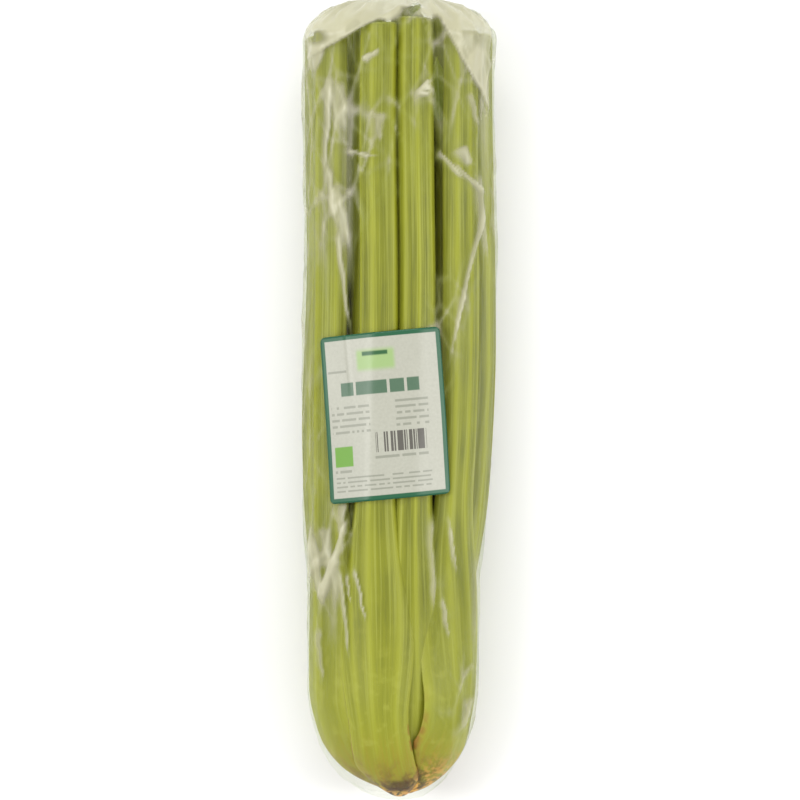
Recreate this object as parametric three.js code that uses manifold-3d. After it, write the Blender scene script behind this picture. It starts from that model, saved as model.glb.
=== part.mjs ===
// A head of celery in a clear film bag with a printed label, lying on its back.
//
// Frame: millimetres, +Z up. The head lies along Y, root end at -Y and cut tops at +Y. The origin is
// on the resting plane, under the middle of the head. "Up the head" below means the distance from the
// root end's tip.
//
// A celery head is a spiral of leaf stalks on a short root crown. Each stalk leaves the crown one
// golden angle on from the one before it and a little further in, so its wide, thin-edged base nests
// inside the bases of the older stalks. Above the bases the stalks narrow to thick crescents and stand
// loosely side by side.
import * as THREE from "three";
import { mergeVertices } from "three/addons/utils/BufferGeometryUtils.js";
import Module from "manifold-3d";

const wasm = await Module();
wasm.setup();

// ---- Driving dimensions ----

const HEAD_LENGTH = 340; // over the film, root tip to folded top
const HEAD_WIDTH = 83; // at the widest, two thirds up the head
const BUTT_WIDTH = 73; // where the rounded root end meets the straight sides
const HEAD_HEIGHT = 64; // flat underside to the highest stalk's film
const BUTT_DEPTH = 50; // how far up the head the rounded root end reaches
const BUTT_ASIDE = -3.6; // how far the butt bulges to one side of the straight axis
const CELERY_ASIDE = 1.7; // how far the celery's root tip lies from the middle of the loose film there
const BUTT_SWELL = 0.085; // how much wider the celery is where its bases swell over the crown
const BASE_SWELL = 0.055; // how much wider it is from there to where the stalks stand free
const TOP_DEPTH = 18; // how far down from the top the film's dome reaches
const FLAT_PRESS = 2; // how far the head's own weight flattens its underside

const FILM_THICKNESS = 0.4; // a plain stand-in wall: real bag film is a tenth of this
const MOUTH = { halfWidth: 7, halfHeight: 1.2 }; // the gap left where the bag's folded top closes
const FILM_SQUARENESS = 0.88; // of its oval section: 1 is an ellipse, and less is squarer
const GAP = 0.35; // between any two pieces
const BASE_CLEARANCE = 3.7; // from the root tip of the film to the middle of the outermost stalk's base

const GOLDEN_ANGLE = -137.508; // degrees from one stalk to the next, round the crown
const FIRST_TURN = -10; // degrees of the oldest stalk, from straight up towards +X

// One row for each stalk, oldest first. base: half the width of its wrapping base. lean: how many
// degrees the bag has pushed it round the head above the base. reach: how far out it stands there, as a
// share of the way from the head's axis to the film. width, thickness: of its crescent there. cut: where
// its top is cut, up the head.
const STALKS = [
  { base: 12, lean: -5, reach: 1, width: 17, thickness: 8.8, cut: 327.5 },
  { base: 20, lean: 3.5, reach: 1, width: 18.5, thickness: 8.6, cut: 323 },
  { base: 24, lean: -26, reach: 1, width: 17, thickness: 9, cut: 325 },
  { base: 21, lean: 5, reach: 1, width: 17.5, thickness: 9, cut: 325.5 },
  { base: 20, lean: 4, reach: 0.96, width: 17, thickness: 8.2, cut: 324.5 },
  { base: 16, lean: -9.5, reach: 0.92, width: 16.5, thickness: 8.4, cut: 330 },
  { base: 18, lean: 21, reach: 0.98, width: 17, thickness: 8.2, cut: 324 },
  { base: 19, lean: -14, reach: 1, width: 17.5, thickness: 8.6, cut: 325 },
  { base: 14, lean: -6, reach: 0.62, width: 14.5, thickness: 7.4, cut: 334 },
  { base: 14, lean: 8, reach: 0.58, width: 14.5, thickness: 7, cut: 324 },
  { base: 13, lean: 15, reach: 0.6, width: 14.5, thickness: 7.4, cut: 334 },
  { base: 12, lean: -8, reach: 0.5, width: 12.5, thickness: 6.8, cut: 332 },
  { base: 10, lean: -8, reach: 0.76, width: 14, thickness: 7, cut: 321 },
  { base: 9, lean: 6, reach: 0.36, width: 10.5, thickness: 6, cut: 336.5 },
  { base: 8, lean: 0, reach: 0.36, width: 9.5, thickness: 5.4, cut: 335 },
  { base: 7, lean: 0, reach: 0.2, width: 8.5, thickness: 5, cut: 334 },
];

const CROWN = { bottom: 2.2, top: 31, cutRadius: 7, radius: 11.5 }; // up the head, and from its axis

const LABEL = { width: 53, height: 70, thickness: 0.3, aside: -6.2, up: 163.5, turn: 5.2 };
const LABEL_FACE_SHARE = 0.998; // of the label's width is its two faces, and the rest its rounded edges

// Small leaves left on the cut tops of the inner stalks. at: aside, up the head, and above the resting
// plane.
const LEAVES = [
  { at: [16.5, 301, 44.5], length: 27, width: 8, turn: 3 },
  { at: [7, 333, 48], length: 7, width: 5, turn: -30 },
  { at: [2, 326, 34.6], length: 13, width: 7, turn: 12 },
];

const FULL_HALF_HEIGHT = (HEAD_HEIGHT + FLAT_PRESS) / 2;
const AXIS_HEIGHT = FULL_HALF_HEIGHT - FLAT_PRESS;

const STALK_GREEN = 0xa9b054;
const LEAF_GREEN = 0x6f8a25;
const CROWN_TAN = 0xc79a5b;
const FILM_WHITE = 0xe9ede4;
const LABEL_WHITE = 0xe6e6e0;

// ---- Small helpers ----

const degrees = Math.PI / 180;
const clamp01 = (x) => Math.min(Math.max(x, 0), 1);
const mix = (a, b, t) => a + (b - a) * t;
const smooth = (from, to, x) => {
  const t = clamp01((x - from) / (to - from));
  return t * t * (3 - 2 * t);
};
const power = (x, exponent) => Math.sign(x) * Math.abs(x) ** exponent;

// A closed skin over rings that hold the same number of points. Each end is closed by a strip across its
// ring, from each point to the one that mirrors it, which suits crescents as well as round rings.
function skinOver(rings) {
  const around = rings[0].length;
  const positions = rings.flat().flatMap((p) => [p.x, p.y, p.z]);
  const index = [];
  const last = (rings.length - 1) * around;
  for (let row = 0; row < rings.length - 1; row++) {
    for (let j = 0; j < around; j++) {
      const a = row * around + j;
      const b = row * around + ((j + 1) % around);
      index.push(a, b, a + around, b, b + around, a + around);
    }
  }
  for (let j = 0; j < around / 2; j++) {
    const mirror = (around - j) % around;
    const corners = [j, j + 1, around - j - 1, mirror];
    for (const [start, flip] of [[0, true], [last, false]]) {
      const [a, b, c, d] = corners.map((k) => start + k);
      for (const [p, q, r] of [[a, b, c], [a, c, d]]) {
        if (p === q || q === r || p === r) continue;
        index.push(p, ...(flip ? [r, q] : [q, r]));
      }
    }
  }
  const geometry = new THREE.BufferGeometry();
  geometry.setAttribute("position", new THREE.BufferAttribute(new Float32Array(positions), 3));
  geometry.setIndex(index);
  return geometry;
}

// A geometry as a manifold-3d solid, turned the right way out if its faces point inwards.
function solidOf(geometry) {
  const bare = geometry.clone();
  bare.deleteAttribute("normal");
  bare.deleteAttribute("uv");
  const merged = mergeVertices(bare, 1e-4);
  const triVerts = new Uint32Array(merged.index.array);
  const vertProperties = new Float32Array(merged.attributes.position.array);
  const solid = new wasm.Manifold(new wasm.Mesh({ numProp: 3, vertProperties, triVerts }));
  if (solid.volume() > 0) return solid;
  for (let i = 0; i < triVerts.length; i += 3) {
    [triVerts[i + 1], triVerts[i + 2]] = [triVerts[i + 2], triVerts[i + 1]];
  }
  return new wasm.Manifold(new wasm.Mesh({ numProp: 3, vertProperties, triVerts }));
}

// The largest piece of a solid: cutting can leave crumbs beside it.
function largestPiece(solid) {
  return solid.decompose().sort((a, b) => b.volume() - a.volume())[0];
}

function geometryOf(solid) {
  const mesh = solid.getMesh();
  const geometry = new THREE.BufferGeometry();
  const positions = new Float32Array(mesh.vertProperties);
  geometry.setAttribute("position", new THREE.BufferAttribute(positions, 3));
  geometry.setIndex(new THREE.BufferAttribute(new Uint32Array(mesh.triVerts), 1));
  geometry.computeVertexNormals();
  return geometry;
}

// ---- The head's outline ----

// Half the head's width over the film, at a distance up the head, as far as the top dome's start.
function halfWidth(up) {
  const side = mix(BUTT_WIDTH, HEAD_WIDTH, smooth(BUTT_DEPTH / 2, HEAD_LENGTH * 0.72, up)) / 2;
  return side * buttRounding(up);
}

// Half its height over the film, before the underside is pressed flat.
function halfHeight(up) {
  const share = mix(0.93, 1, smooth(BUTT_DEPTH / 2, HEAD_LENGTH * 0.45, up));
  return FULL_HALF_HEIGHT * share * buttRounding(up);
}

// 1 along the straight sides, falling to 0 at the root tip as an ellipse does.
function buttRounding(up) {
  return Math.sqrt(1 - clamp01(1 - up / BUTT_DEPTH) ** 2);
}

// How far to one side the head's axis lies: its tip and its top are in line, and the butt bulges between
// them.
function axisAside(up) {
  return BUTT_ASIDE * (smooth(0, BUTT_DEPTH / 3, up) - smooth(30, HEAD_LENGTH * 0.6, up));
}

const yOf = (up) => up - HEAD_LENGTH / 2;

// The celery's own middle, and how much wider than the plain spiral it is.
const celeryAside = (up) => axisAside(up) + CELERY_ASIDE * (1 - smooth(8, 45, up));
const girth = (up) => 1 + BASE_SWELL * smooth(0, 30, up) * (1 - smooth(150, 240, up))
  + BUTT_SWELL * smooth(4, 14, up) * (1 - smooth(15, 36, up));

// ---- Leaf stalks ----

// What sets one stalk apart. age is 0 for the oldest and outermost, and 1 for the youngest, at the heart.
const stalks = STALKS.map((row, number) => {
  const age = number / (STALKS.length - 1);
  return {
    ...row,
    turn: FIRST_TURN + GOLDEN_ANGLE * number,
    nest: mix(1, 0.2, age ** 1.3), // as reach, where its base nests round the crown
    baseThickness: mix(5.2, 3.2, age),
  };
});

// How far a stalk has changed from its wrapping base, 0, to its free crescent, 1.
const settled = (up) => smooth(25, 135, up);

// The stalk's centre line and section axes at a share of the way along it.
function stalkFrame(stalk, share) {
  const baseShare = 0.3; // of the line's parameter is spent on the rounded base
  const riseStart = mix(24, 8, Math.sqrt(stalk.nest)) * degrees;
  const rise = mix(riseStart, Math.PI / 2, clamp01(share / baseShare));
  const depth = (BUTT_DEPTH - BASE_CLEARANCE) * mix(0.42, 1, stalk.nest);
  const beyond = clamp01((share - baseShare) / (1 - baseShare));
  const up = BUTT_DEPTH - depth * Math.cos(rise) + beyond * (stalk.cut - BUTT_DEPTH);

  const settle = settled(up);
  const turn = (stalk.turn + stalk.lean * settle) * degrees;
  const reach = mix(stalk.nest, stalk.reach, settle) * Math.sin(rise);
  const half = mix(stalk.baseThickness, stalk.thickness, settle) / 2;
  const inset = FILM_THICKNESS + 2 * GAP + half + 0.2;
  const side = Math.min(Math.max(up, BUTT_DEPTH), HEAD_LENGTH - TOP_DEPTH);
  const outX = halfWidth(side) - inset;
  const outZ = halfHeight(side) - inset - FLAT_PRESS * clamp01(-Math.cos(turn));
  const centre = new THREE.Vector3(
    celeryAside(up) + reach * outX * Math.sin(turn), yOf(up), AXIS_HEIGHT + reach * outZ * Math.cos(turn));

  const facing = new THREE.Vector2(outZ * Math.sin(turn), outX * Math.cos(turn)).normalize();
  const spread = outX * stalk.nest;
  const tilt = Math.atan2(spread * Math.cos(rise), depth * Math.sin(rise));
  return {
    up,
    centre,
    settle,
    half,
    across: new THREE.Vector3(facing.y, 0, -facing.x),
    outward: new THREE.Vector3(facing.x * Math.cos(tilt), -Math.sin(tilt), facing.y * Math.cos(tilt)),
    ringRadius: Math.max(spread * Math.sin(rise), 3),
  };
}

// One crescent of the stalk: a flattened ring bent round the head at the base, and round its own groove
// above.
function stalkRing(stalk, share, around, grow) {
  const { up, centre, settle, half, across, outward, ringRadius } = stalkFrame(stalk, share);
  const bendRadius = mix(ringRadius, stalk.width * 0.4, settle);
  const wrap = mix(Math.min(58 * degrees, stalk.base / ringRadius), 74 * degrees, settle);
  const ring = [];
  for (let j = 0; j < around; j++) {
    const angle = (2 * Math.PI * j) / around;
    const turned = power(Math.cos(angle), 0.85) * (wrap + grow / bendRadius);
    const bulge = power(Math.sin(angle), 0.8) * (half + grow) * (1 - 0.3 * Math.cos(angle) ** 2);
    const radius = bendRadius + bulge;
    ring.push(centre.clone()
      .addScaledVector(across, radius * Math.sin(turned))
      .addScaledVector(outward, radius * Math.cos(turned) - bendRadius));
  }
  for (const point of ring) {
    point.x = celeryAside(up) + (point.x - celeryAside(up)) * girth(up);
  }
  return ring;
}

function stalkSolid(stalk, grow = 0) {
  const around = 14;
  const shares = [0, 0.06, 0.12, 0.18, 0.24, 0.3, 0.36, 0.42, 0.48, 0.54, 0.68, 0.84, 1];
  const rings = shares.map((share) => stalkRing(stalk, share, around, grow));
  return solidOf(skinOver(rings));
}

// ---- Root crown ----

// The short stem that all the stalks grow from: a blunt cone, trimmed flat where the roots were cut away.
function crownSolid(grow = 0) {
  const { bottom, top, cutRadius, radius } = CROWN;
  const rise = top - bottom;
  const profile = [
    [0, bottom - grow],
    [cutRadius + grow, bottom - grow],
    [radius * 0.9 + grow, bottom + rise * 0.06],
    [radius + grow, bottom + rise * 0.18],
    [radius * 0.92 + grow, bottom + rise * 0.32],
    [radius * 0.66 + grow, bottom + rise * 0.54],
    [radius * 0.4 + grow, bottom + rise * 0.76],
    [grow, top],
    [0, top + grow],
  ];
  const sides = 20;
  const points = profile.map(([r, up]) => new THREE.Vector2(r, yOf(up)));
  const geometry = new THREE.LatheGeometry(points, sides);
  const position = geometry.attributes.position;
  for (let i = 0; i < position.count; i++) {
    const up = position.getY(i) + HEAD_LENGTH / 2;
    const aside = position.getX(i) + celeryAside(up);
    position.setXYZ(i, aside, position.getY(i), position.getZ(i) + AXIS_HEIGHT);
  }
  return solidOf(geometry);
}

// ---- Small leaves ----

// A folded leaf blade, thin and pointed, its keel down the middle.
function leafSolid({ at: [aside, up, height], length, width, turn }) {
  const thickness = 0.9;
  const fold = 0.45; // how deep the blade's V is, as a share of its half width
  const rows = 9;
  const rings = [];
  // Each corner: across the blade from -1 to 1, and 1 on its upper face, -1 on its lower one.
  const corners = [[-1, 0], [-0.5, 1], [0, 1], [0.5, 1], [1, 0], [0.5, -1], [0, -1], [-0.5, -1]];
  for (let row = 0; row < rows; row++) {
    const share = mix(0.03, 0.98, row / (rows - 1));
    const half = (width / 2) * Math.sin(Math.PI * share ** 0.8) ** 0.8;
    const ring = [];
    for (const [side, face] of corners) {
      ring.push(new THREE.Vector3(side * half, (share - 0.5) * length,
        fold * half * Math.abs(side) + (face * thickness) / 2 + 2 * share ** 2));
    }
    rings.push(ring);
  }
  const geometry = skinOver(rings);
  geometry.rotateZ(turn * degrees);
  geometry.translate(aside, yOf(up), height);
  return solidOf(geometry);
}

// ---- Film bag ----

// The bag's section at a distance up the head: a full oval, inset by a distance, pressed flat underneath.
function filmRing(width, height, up, inset, around) {
  const ring = [];
  for (let j = 0; j < around; j++) {
    const angle = (2 * Math.PI * j) / around;
    const x = axisAside(up) + (width - inset) * power(Math.cos(angle), FILM_SQUARENESS);
    const z = AXIS_HEIGHT + (height - inset) * power(Math.sin(angle), FILM_SQUARENESS);
    ring.push(new THREE.Vector3(x, yOf(up), Math.max(z, inset)));
  }
  return ring;
}

// Rings over the whole bag from its root tip to its mouth, inset by a distance.
function filmRings(inset, around) {
  const rings = [];
  const shoulder = HEAD_LENGTH - TOP_DEPTH;
  for (const slope of [3, 16, 29, 42, 55, 68, 81]) {
    const up = BUTT_DEPTH * (1 - Math.cos(slope * degrees));
    const sideInset = inset * Math.sin(slope * degrees);
    const endInset = inset * Math.cos(slope * degrees);
    rings.push(filmRing(halfWidth(up), halfHeight(up), up + endInset, sideInset, around));
  }
  const straightRows = 8;
  for (let row = 0; row <= straightRows; row++) {
    const up = mix(BUTT_DEPTH + 8, shoulder, row / straightRows);
    rings.push(filmRing(halfWidth(up), halfHeight(up), up, inset, around));
  }
  for (const slope of [16, 32, 48, 64, 78, 90]) {
    const share = Math.cos(slope * degrees);
    const width = mix(MOUTH.halfWidth, halfWidth(shoulder), share);
    const height = mix(MOUTH.halfHeight, halfHeight(shoulder), share);
    const up = shoulder + TOP_DEPTH * Math.sin(slope * degrees);
    rings.push(filmRing(width, height, up - inset * (1 - share), inset * share, around));
  }
  return rings;
}

// The film itself: its outside, then back down its inside from the mouth.
function filmSolid() {
  const around = 32;
  return solidOf(skinOver([...filmRings(0, around), ...filmRings(FILM_THICKNESS, around).reverse()]));
}

// All the room inside the film, less the usual gap.
function roomInside() {
  return solidOf(skinOver(filmRings(FILM_THICKNESS + GAP, 32)));
}

// ---- Label ----

// A point on the film over the head's front, a distance round from the front's middle and a distance up the
// head, raised off the film.
function overFilm(round, up, raise) {
  const width = halfWidth(up);
  const height = halfHeight(up);
  const onOval = (angle) => new THREE.Vector2(
    width * power(Math.sin(angle), FILM_SQUARENESS),
    AXIS_HEIGHT + height * power(Math.cos(angle), FILM_SQUARENESS));
  const step = Math.sign(round) * 0.5 * degrees;
  let angle = 0;
  let here = onOval(0);
  let walked = 0;
  while (walked < Math.abs(round)) {
    const next = onOval(angle + step);
    const length = next.distanceTo(here);
    const part = Math.min(1, (Math.abs(round) - walked) / length);
    here = here.lerp(next, part);
    walked += length;
    angle += step * part;
  }
  const ahead = onOval(angle + 0.02);
  const behind = onOval(angle - 0.02);
  const normal = new THREE.Vector2(behind.y - ahead.y, ahead.x - behind.x).normalize();
  here.addScaledVector(normal, raise);
  return new THREE.Vector3(axisAside(up) + here.x, yOf(up), here.y);
}

// A thin sheet that follows the film, turned a little from square.
function labelSolid() {
  const { width, height, thickness, aside, up, turn } = LABEL;
  const columns = 9;
  const rows = 6;
  const onLabel = (across, along, raise) => {
    const x = across * width;
    const y = along * height;
    const round = aside + x * Math.cos(turn * degrees) - y * Math.sin(turn * degrees);
    return overFilm(round, up + x * Math.sin(turn * degrees) + y * Math.cos(turn * degrees), raise);
  };
  const low = GAP;
  const high = GAP + thickness;
  const rings = [];
  for (let row = 0; row <= rows; row++) {
    const along = row / rows - 0.5;
    const across = Array.from({ length: columns }, (_, k) => (k / (columns - 1) - 0.5) * LABEL_FACE_SHARE);
    const top = across.map((a) => onLabel(a, along, high));
    const under = across.map((a) => onLabel(a, along, low)).reverse();
    const edge = (side) => onLabel(side, along, (low + high) / 2);
    rings.push([edge(-0.5), ...top, edge(0.5), ...under]);
  }
  return solidOf(skinOver(rings));
}

// ---- Put together ----

const head = new THREE.Group();

function addPiece(name, solid, colour, roughness) {
  const material = new THREE.MeshStandardMaterial({ color: colour, roughness, metalness: 0 });
  const mesh = new THREE.Mesh(geometryOf(solid), material);
  mesh.name = name;
  head.add(mesh);
}

// Which layer of the head a stalk stands in.
function layerName(number) {
  if (number < 8) return "outer";
  return number < 12 ? "inner" : "heart";
}

const room = roomInside();
const taken = [crownSolid(GAP)];
stalks.forEach((stalk, number) => {
  let solid = stalkSolid(stalk).intersect(room);
  for (const other of taken) solid = solid.subtract(other);
  taken.push(stalkSolid(stalk, GAP));
  addPiece(`${layerName(number)}_stalk_${number + 1}`, largestPiece(solid), STALK_GREEN, 0.5);
});
addPiece("root_crown", crownSolid().intersect(room), CROWN_TAN, 0.8);
LEAVES.forEach((leaf, number) => {
  let solid = leafSolid(leaf).intersect(room);
  for (const other of taken) solid = solid.subtract(other);
  addPiece(`heart_leaf_${number + 1}`, largestPiece(solid), LEAF_GREEN, 0.5);
});
addPiece("film_bag", filmSolid(), FILM_WHITE, 0.15);
addPiece("label", labelSolid(), LABEL_WHITE, 0.4);

export default head;
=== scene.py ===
"""A head of celery in a clear film bag with a printed label, lying on its back."""

import math

import bmesh
import bpy
import numpy as np
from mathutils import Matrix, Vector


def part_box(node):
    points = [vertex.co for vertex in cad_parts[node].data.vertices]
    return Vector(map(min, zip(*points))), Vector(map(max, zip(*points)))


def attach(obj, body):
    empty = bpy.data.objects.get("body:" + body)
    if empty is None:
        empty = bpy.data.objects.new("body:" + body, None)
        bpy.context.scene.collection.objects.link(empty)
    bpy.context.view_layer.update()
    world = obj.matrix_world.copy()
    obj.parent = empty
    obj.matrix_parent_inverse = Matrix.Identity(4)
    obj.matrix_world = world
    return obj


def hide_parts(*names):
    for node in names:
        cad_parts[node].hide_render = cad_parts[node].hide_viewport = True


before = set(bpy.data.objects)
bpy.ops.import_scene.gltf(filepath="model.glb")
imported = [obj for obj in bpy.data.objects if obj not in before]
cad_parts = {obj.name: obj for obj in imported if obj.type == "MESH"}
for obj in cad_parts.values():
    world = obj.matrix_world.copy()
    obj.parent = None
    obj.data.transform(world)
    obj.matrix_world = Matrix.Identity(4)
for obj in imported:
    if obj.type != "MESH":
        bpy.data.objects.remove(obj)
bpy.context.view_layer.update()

# ---- Camera ----
# A long lens straight above the head, far enough away that the view is nearly
# square on. The stalks' cut ends are at the top of the picture.

camera = bpy.data.objects.new("camera", bpy.data.cameras.new("camera"))
camera.data.sensor_width = 36
camera.data.lens = 158.8
camera.data.clip_end = 20
camera.location = (0.0004, 0.0, 1.532)
bpy.context.scene.collection.objects.link(camera)
bpy.context.scene.camera = camera
bpy.context.scene.view_settings.view_transform = "Standard"

# ---- Studio ----
# A plain white table under two long soft boxes, one over each side of the
# head, and a broad weak one past its top. The room itself is pale grey.

table_mesh = bpy.data.meshes.new("table")
TABLE_REACH = 6.0
table_mesh.from_pydata(
    [(x * TABLE_REACH, y * TABLE_REACH, 0) for x, y in ((-1, -1), (1, -1), (1, 1), (-1, 1))],
    [],
    [(0, 1, 2, 3)],
)
table = bpy.data.objects.new("table", table_mesh)
bpy.context.scene.collection.objects.link(table)
table_paint = bpy.data.materials.new("table_paint")
table_paint.use_nodes = True
table_shader = table_paint.node_tree.nodes["Principled BSDF"]
table_shader.inputs["Base Color"].default_value = (0.93, 0.93, 0.93, 1)
table_shader.inputs["Roughness"].default_value = 0.9
table_mesh.materials.append(table_paint)

world = bpy.data.worlds.new("room")
bpy.context.scene.world = world
world.use_nodes = True
world.node_tree.nodes["Background"].inputs["Color"].default_value = (1, 1, 1, 1)
world.node_tree.nodes["Background"].inputs["Strength"].default_value = 0.74

for name, place, size, power in (
    ("left_box", (-0.95, 0.05, 1.05), (0.35, 1.0), 9),
    ("right_box", (1.05, -0.05, 0.95), (0.25, 1.0), 8),
    ("top_box", (0.0, 1.3, 1.3), (1.2, 0.5), 9),
):
    box = bpy.data.lights.new(name, "AREA")
    box.shape = "RECTANGLE"
    box.size, box.size_y = size
    box.energy = power
    holder = bpy.data.objects.new(name, box)
    holder.location = place
    away = holder.location.normalized()
    holder.rotation_euler = away.to_track_quat("Z", "Y").to_euler()
    bpy.context.scene.collection.objects.link(holder)

# ---- Leaf stalks ----
# Ribbed, grooved leaf stalks of living green tissue, sixteen of them on one
# golden-angle spiral. Each grows from the crown with a wide thin base that
# wraps the younger ones, narrows to a thick crescent, and is cut off square.

MM = 0.001
HEAD_LENGTH, BUTT_DEPTH, TOP_DEPTH = 340.0, 50.0, 18.0
BUTT_WIDTH, HEAD_WIDTH, FULL_HALF_HEIGHT, FLAT_PRESS = 73.0, 83.0, 33.0, 2.0
AXIS_HEIGHT = FULL_HALF_HEIGHT - FLAT_PRESS
# The rounded butt of the bag stands to one side, and the celery's root in it.
BUTT_ASIDE, CELERY_ASIDE = -3.6, 1.7
# Room between the film and the stalks' middles: past the root, and past a side.
BASE_CLEARANCE, SIDE_CLEARANCE = 3.7, 1.3
# How much wider the bases swell over the crown, and on up to the free stalks.
BUTT_SWELL, BASE_SWELL = 0.085, 0.055


class Wire:
    """A socket of a node tree. Sums on wires add Math nodes, and node() adds any other."""

    def __init__(self, tree, socket=None):
        self.tree, self.socket = tree, socket

    def node(self, kind, settings=None, inputs=None, out=0):
        made = self.tree.nodes.new(kind)
        for name, value in (settings or {}).items():
            if name == "stops":
                ramp = made.color_ramp.elements
                while len(ramp) < len(value):
                    ramp.new(0.5)
                for stop, (place, colour) in zip(ramp, value):
                    stop.position, stop.color = place, colour
            else:
                setattr(made, name, value)
        for key, value in (inputs or {}).items():
            if isinstance(value, Wire):
                self.tree.links.new(value.socket, made.inputs[key])
            else:
                made.inputs[key].default_value = value
        return Wire(self.tree, made.outputs[out])

    def math(self, operation, *values):
        return self.node("ShaderNodeMath", {"operation": operation}, dict(enumerate(values)))

    def vector(self, *numbers):
        return self.node("ShaderNodeCombineXYZ", inputs=dict(enumerate(numbers)))

    def parts(self):
        """The three numbers of a vector or a colour."""
        split = self.node("ShaderNodeSeparateXYZ", inputs={0: self}).socket.node
        return [Wire(self.tree, socket) for socket in split.outputs]

    def __add__(self, other):
        return self.math("ADD", self, other)

    def __sub__(self, other):
        return self.math("SUBTRACT", self, other)

    def __rsub__(self, other):
        return self.math("SUBTRACT", other, self)

    def __mul__(self, other):
        return self.math("MULTIPLY", self, other)

    def __truediv__(self, other):
        return self.math("DIVIDE", self, other)

    def __pow__(self, other):
        return self.math("POWER", self, other)

    def __neg__(self):
        return self * -1.0

    def __abs__(self):
        return self.math("ABSOLUTE", self)

    __radd__, __rmul__ = __add__, __mul__

    def sin(self):
        return self.math("SINE", self)

    def cos(self):
        return self.math("COSINE", self)

    def root(self):
        return self.math("SQRT", self)

    def sign(self):
        return self.math("SIGN", self)

    def least(self, other):
        return self.math("MINIMUM", self, other)

    def most(self, other):
        return self.math("MAXIMUM", self, other)

    def above(self, other):
        return self.math("GREATER_THAN", self, other)

    def frac(self):
        return self.math("FRACT", self)

    def floor(self):
        return self.math("FLOOR", self)

    def smooth(self, low, high):
        return self.node(
            "ShaderNodeMapRange",
            {"interpolation_type": "SMOOTHSTEP"},
            {"Value": self, "From Min": low, "From Max": high},
        )


def mixed(a, b, share):
    return a + (b - a) * share


# The bag's half width, half height and the side shift of its axis, up the head.
def butt_rounding(up):
    short = (1 - up / BUTT_DEPTH).most(0.0).least(1.0)
    return (1 - short * short).most(0.0).root()


def half_width(up):
    side = up.smooth(BUTT_DEPTH / 2, HEAD_LENGTH * 0.72)
    return mixed(BUTT_WIDTH / 2, HEAD_WIDTH / 2, side) * butt_rounding(up)


def half_height(up):
    share = mixed(0.93, 1.0, up.smooth(BUTT_DEPTH / 2, HEAD_LENGTH * 0.45))
    return FULL_HALF_HEIGHT * share * butt_rounding(up)


def axis_aside(up):
    return BUTT_ASIDE * (up.smooth(0.0, BUTT_DEPTH / 3) - up.smooth(30.0, HEAD_LENGTH * 0.6))


STALK_SIZES = (
    "Turn", "Lean", "Nest", "Reach", "Base", "Width",
    "Base Thickness", "Thickness", "Cut", "Cut Slope", "Ribs", "Seed",
)  # fmt: skip

stalk_tree = bpy.data.node_groups.new("leaf_stalk", "GeometryNodeTree")
stalk_tree.interface.new_socket(
    "Geometry", in_out="OUTPUT", socket_type="NodeSocketGeometry"
)
for size in STALK_SIZES:
    stalk_tree.interface.new_socket(size, in_out="INPUT", socket_type="NodeSocketFloat")
stalk_tree.interface.new_socket("Skin", in_out="INPUT", socket_type="NodeSocketMaterial")
given = stalk_tree.nodes.new("NodeGroupInput")
size_of = {s.name: Wire(stalk_tree, s) for s in given.outputs if s.name}
grow = Wire(stalk_tree)

STALK_AROUND, STALK_ALONG = 100, 116
# The shares of a stalk's rows that are its cut end, and its wrapping base.
CAP_SHARE, BASE_SHARE = 0.05, 0.3
OLDEST_RISE, YOUNGEST_RISE = math.radians(24), math.radians(8)
MOST_BASE_WRAP, STALK_WRAP = math.radians(58), math.radians(74)
SWAY, HEAVE = 3.0, 2.0
grid = grow.node(
    "GeometryNodeMeshGrid",
    inputs={"Vertices X": STALK_AROUND + 1, "Vertices Y": STALK_ALONG},
)
grid_x, grid_y, _ = grow.node("GeometryNodeInputPosition").parts()
round_share, long_share = grid_x + 0.5, grid_y + 0.5

# The first row closes the foot, and the last few shrink across the cut end.
share = (long_share / (1 - CAP_SHARE)).least(1.0)
cap = ((long_share - (1 - CAP_SHARE)) / CAP_SHARE).most(0.0)
foot = (long_share * STALK_ALONG).least(1.0)
fullness = (1 - cap) * foot

# A base rises from the crown along a quarter of an oval, and the stalk goes on
# straight up from it. The younger ones start further in and higher.
spent = (share / BASE_SHARE).least(1.0)
rise_start = mixed(OLDEST_RISE, YOUNGEST_RISE, size_of["Nest"].root())
rise = mixed(rise_start, math.pi / 2, spent)
depth = (BUTT_DEPTH - BASE_CLEARANCE) * mixed(0.42, 1.0, size_of["Nest"])
beyond = ((share - BASE_SHARE) / (1 - BASE_SHARE)).most(0.0)
up = BUTT_DEPTH - depth * rise.cos() + beyond * (size_of["Cut"] - BUTT_DEPTH)

# From a base to a free stalk: it leans round the head and thickens.
settle = up.smooth(25.0, 135.0)
turn = (size_of["Turn"] + size_of["Lean"] * settle) * math.radians(1)
out = mixed(size_of["Nest"], size_of["Reach"], settle) * rise.sin()
half = mixed(size_of["Base Thickness"], size_of["Thickness"], settle) / 2
inset = half + SIDE_CLEARANCE
side = up.most(BUTT_DEPTH).least(HEAD_LENGTH - TOP_DEPTH)
out_x = half_width(side) - inset
out_z = half_height(side) - inset - FLAT_PRESS * (-turn.cos()).most(0.0)

# Slow bends along the stalk, as it grew.
bend = grow.node(
    "ShaderNodeTexNoise",
    {"noise_dimensions": "2D"},
    {"Vector": grow.vector(share * 3.0, size_of["Seed"] * 7.3), "Scale": 1.0, "Detail": 1.0},
    out="Color",
)
sway, heave, swell = (part - 0.5 for part in bend.parts())
middle_x = axis_aside(up) + CELERY_ASIDE * (1 - up.smooth(8.0, 45.0))
centre_x = middle_x + out * out_x * turn.sin() + sway * settle * SWAY
centre_z = AXIS_HEIGHT + out * out_z * turn.cos() + heave * settle * HEAVE

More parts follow.
